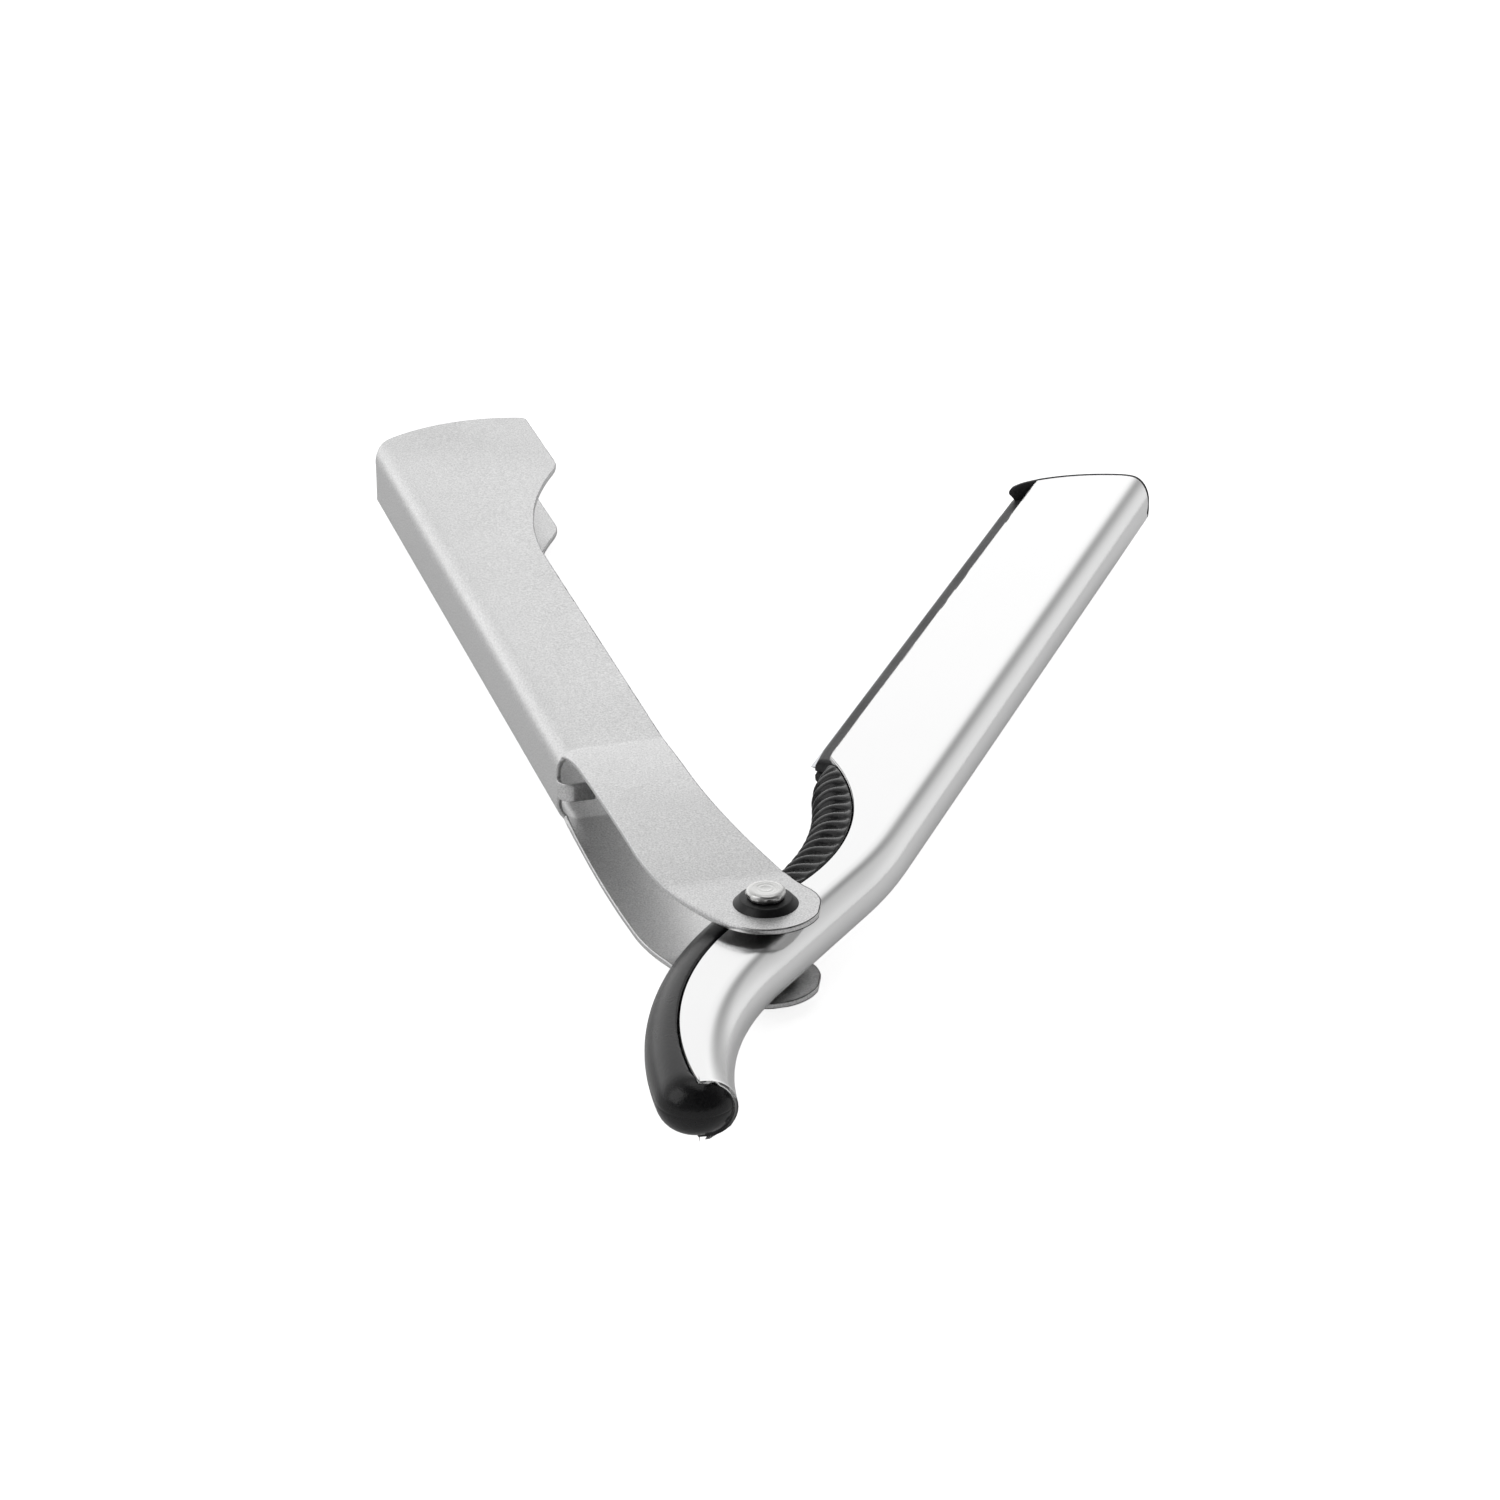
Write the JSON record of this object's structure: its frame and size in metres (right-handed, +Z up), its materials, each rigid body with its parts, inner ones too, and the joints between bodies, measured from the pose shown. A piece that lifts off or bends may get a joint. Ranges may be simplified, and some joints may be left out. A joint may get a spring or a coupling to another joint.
{
  "type": "folding straight razor",
  "caption": "Folding barber's straight razor with a bent sheet-metal handle, a riveted blade arm with a ribbed finger rest, and a slide-out holder for a replaceable blade.",
  "frame": {"origin": "on the pivot axis, at the flat underside of the lower rivet head, which is what the razor rests on", "axes": "+Y along the handle from the pivot to its tail end, +X across the handle towards the side on which the blade arm swings open, +Z up along the pivot axis"},
  "size_m": [0.08, 0.1402, 0.0102],
  "materials": {
    "handle_steel": "bead-blasted satin",
    "rivet_steel": "turned and peened",
    "black_washer": "satin black",
    "polished_shell": "polished",
    "black_core": "fine-grained satin black",
    "black_holder": "satin dark grey",
    "blade_steel": "ground and honed"
  },
  "bodies": {
    "handle_body": {"handle": "handle_steel", "pivot_rivet": "rivet_steel", "upper_outer_washer": "black_washer", "lower_outer_washer": "black_washer", "upper_inner_washer": "black_washer", "lower_inner_washer": "black_washer"},
    "blade_arm": {"blade_shell": "polished_shell", "tang_core": "black_core"},
    "holder": {"blade_holder": "black_holder", "razor_blade": "blade_steel"}
  },
  "joints": [
    {"name": "blade_pivot", "type": "hinge", "parent": "handle_body", "child": "blade_arm", "pos_m": [0, 0, 0.0051], "axis": [0, 0, 1], "range_deg": [-293, 33.5]},
    {"name": "holder_slide", "type": "slide", "parent": "blade_arm", "child": "holder", "axis": [0.575, 0.8181, 0], "range_m": [0, 0.07]}
  ]
}
